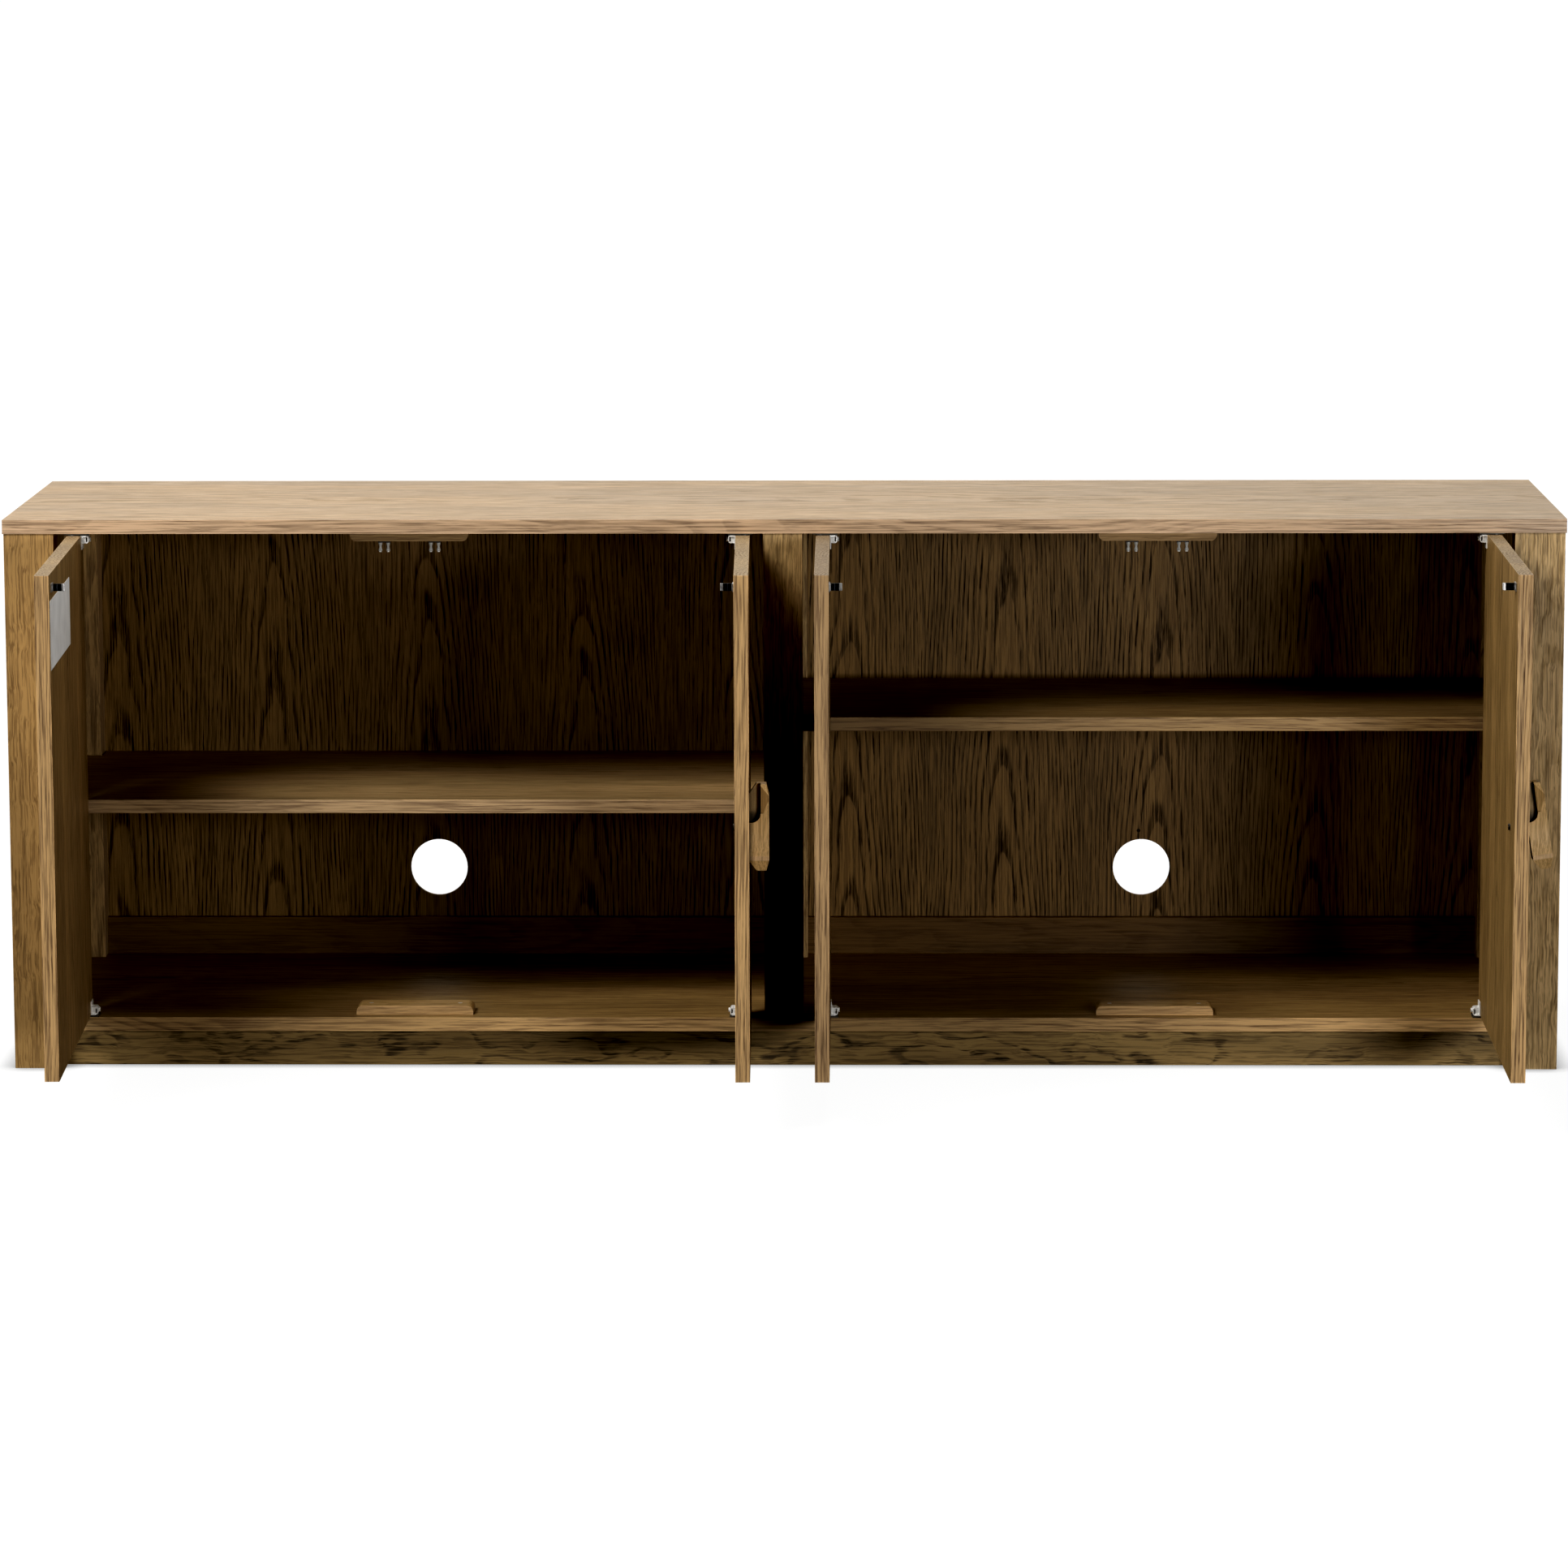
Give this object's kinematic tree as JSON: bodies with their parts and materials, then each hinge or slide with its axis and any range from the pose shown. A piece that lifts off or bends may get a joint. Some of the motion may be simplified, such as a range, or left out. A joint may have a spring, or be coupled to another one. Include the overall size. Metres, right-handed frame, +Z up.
{
  "type": "media cabinet",
  "caption": "Low oak media cabinet with inset doors on pivot brackets, loose shelves on pins, roller catches and cable holes in the back.",
  "frame": {"origin": "on the floor, under the middle of the body's width and depth", "axes": "+X to the right along the cabinet's width, seen from the front; -Y out of the front; +Z up"},
  "size_m": [2.007, 0.9004, 0.718],
  "materials": {
    "oak_top": "satin lacquered oak, long grain along the width",
    "oak_floor": "satin lacquered oak, long grain along the width",
    "oak_post": "satin lacquered oak, upright grain",
    "oak_side": "satin lacquered oak, upright grain",
    "oak_plinth": "dark oak with knots, grain along the width",
    "oak_back": "oak veneer with strong upright cathedral grain",
    "oak_rail": "satin lacquered oak, grain along the width",
    "beech_dowel": "plain beech",
    "zinc_screw": "zinc plated",
    "nickel_pin": "nickel plated",
    "oak_shelf": "satin lacquered oak, grain along the width",
    "oak_stop": "light oak, wavy grain",
    "nickel_hinge": "nickel plated",
    "zinc_catch": "zinc plated",
    "roller_nylon": "smooth nylon",
    "oak_door": "satin lacquered oak, upright grain, lighter edges",
    "steel_strike": "dark lacquered steel, worn bright at the tip",
    "oak_handle": "hand-carved oak, oiled",
    "label_paper": "blank matt paper"
  },
  "bodies": {
    "carcass": {"top_panel": "oak_top", "bottom_panel": "oak_floor", "post_front_left": "oak_post", "post_front_right": "oak_post", "post_rear_left": "oak_post", "post_rear_right": "oak_post", "post_front_centre": "oak_post", "post_rear_centre": "oak_post", "side_panel_left": "oak_side", "side_panel_right": "oak_side", "centre_partition": "oak_side", "plinth_front": "oak_plinth", "plinth_back": "oak_plinth", "base_support": "oak_plinth", "back_panel_left": "oak_back", "back_panel_right": "oak_back", "back_rail_left": "oak_rail", "back_rail_right": "oak_rail", "panel_dowels": "beech_dowel", "back_panel_screws": "zinc_screw", "shelf_pins": "nickel_pin", "top_stop_left": "oak_stop", "top_stop_right": "oak_stop", "bottom_stop_left": "oak_stop", "bottom_stop_right": "oak_stop", "hinge_frame_plates": "nickel_hinge", "hinge_pins": "nickel_pin", "carcass_screws": "zinc_screw", "catch_frames": "zinc_catch", "catch_roller_pins": "nickel_pin"},
    "door_1": {"door_1_panel": "oak_door", "door_1_pivot_brackets": "nickel_hinge", "door_1_strike": "steel_strike", "door_1_screws": "zinc_screw", "door_1_label": "label_paper"},
    "door_2": {"door_2_panel": "oak_door", "door_2_pivot_brackets": "nickel_hinge", "door_2_strike": "steel_strike", "door_2_screws": "zinc_screw", "door_2_handle": "oak_handle"},
    "door_3": {"door_3_panel": "oak_door", "door_3_pivot_brackets": "nickel_hinge", "door_3_strike": "steel_strike", "door_3_screws": "zinc_screw"},
    "door_4": {"door_4_panel": "oak_door", "door_4_pivot_brackets": "nickel_hinge", "door_4_strike": "steel_strike", "door_4_screws": "zinc_screw", "door_4_handle": "oak_handle"},
    "left_shelf": {"shelf_left": "oak_shelf"},
    "right_shelf": {"shelf_right": "oak_shelf"},
    "catch_1_left_roller_body": {"catch_1_left_roller": "roller_nylon"},
    "catch_1_right_roller_body": {"catch_1_right_roller": "roller_nylon"},
    "catch_2_left_roller_body": {"catch_2_left_roller": "roller_nylon"},
    "catch_2_right_roller_body": {"catch_2_right_roller": "roller_nylon"},
    "catch_3_left_roller_body": {"catch_3_left_roller": "roller_nylon"},
    "catch_3_right_roller_body": {"catch_3_right_roller": "roller_nylon"},
    "catch_4_left_roller_body": {"catch_4_left_roller": "roller_nylon"},
    "catch_4_right_roller_body": {"catch_4_right_roller": "roller_nylon"}
  },
  "joints": [
    {"name": "door_1_swing", "type": "hinge", "parent": "carcass", "child": "door_1", "pos_m": [-0.9145, -0.2305, 0.38375], "axis": [0, 0, 1], "range_deg": [-7.3, 87.7]},
    {"name": "door_2_swing", "type": "hinge", "parent": "carcass", "child": "door_2", "pos_m": [-0.0485, -0.2305, 0.38375], "axis": [0, 0, 1], "range_deg": [-91.1, 0.9]},
    {"name": "door_3_swing", "type": "hinge", "parent": "carcass", "child": "door_3", "pos_m": [0.0485, -0.2305, 0.38375], "axis": [0, 0, 1], "range_deg": [-2.4, 89.6]},
    {"name": "door_4_swing", "type": "hinge", "parent": "carcass", "child": "door_4", "pos_m": [0.9145, -0.2305, 0.38375], "axis": [0, 0, 1], "range_deg": [-89.5, 5.5]},
    {"name": "catch_1_left_roller_spin", "type": "hinge", "parent": "carcass", "child": "catch_1_left_roller_body", "pos_m": [-0.519, -0.2095, 0.68], "axis": [0, 0, 1], "continuous": true},
    {"name": "catch_1_right_roller_spin", "type": "hinge", "parent": "carcass", "child": "catch_1_right_roller_body", "pos_m": [-0.509, -0.2095, 0.68], "axis": [0, 0, 1], "continuous": true},
    {"name": "catch_2_left_roller_spin", "type": "hinge", "parent": "carcass", "child": "catch_2_left_roller_body", "pos_m": [-0.454, -0.2095, 0.68], "axis": [0, 0, 1], "continuous": true},
    {"name": "catch_2_right_roller_spin", "type": "hinge", "parent": "carcass", "child": "catch_2_right_roller_body", "pos_m": [-0.444, -0.2095, 0.68], "axis": [0, 0, 1], "continuous": true},
    {"name": "catch_3_left_roller_spin", "type": "hinge", "parent": "carcass", "child": "catch_3_left_roller_body", "pos_m": [0.444, -0.2095, 0.68], "axis": [0, 0, 1], "continuous": true},
    {"name": "catch_3_right_roller_spin", "type": "hinge", "parent": "carcass", "child": "catch_3_right_roller_body", "pos_m": [0.454, -0.2095, 0.68], "axis": [0, 0, 1], "continuous": true},
    {"name": "catch_4_left_roller_spin", "type": "hinge", "parent": "carcass", "child": "catch_4_left_roller_body", "pos_m": [0.509, -0.2095, 0.68], "axis": [0, 0, 1], "continuous": true},
    {"name": "catch_4_right_roller_spin", "type": "hinge", "parent": "carcass", "child": "catch_4_right_roller_body", "pos_m": [0.519, -0.2095, 0.68], "axis": [0, 0, 1], "continuous": true},
    {"name": "left_shelf_lift", "type": "slide", "parent": "carcass", "child": "left_shelf", "axis": [0, 0, 1], "range_m": [0, 0.03]},
    {"name": "right_shelf_lift", "type": "slide", "parent": "carcass", "child": "right_shelf", "axis": [0, 0, 1], "range_m": [0, 0.03]}
  ]
}
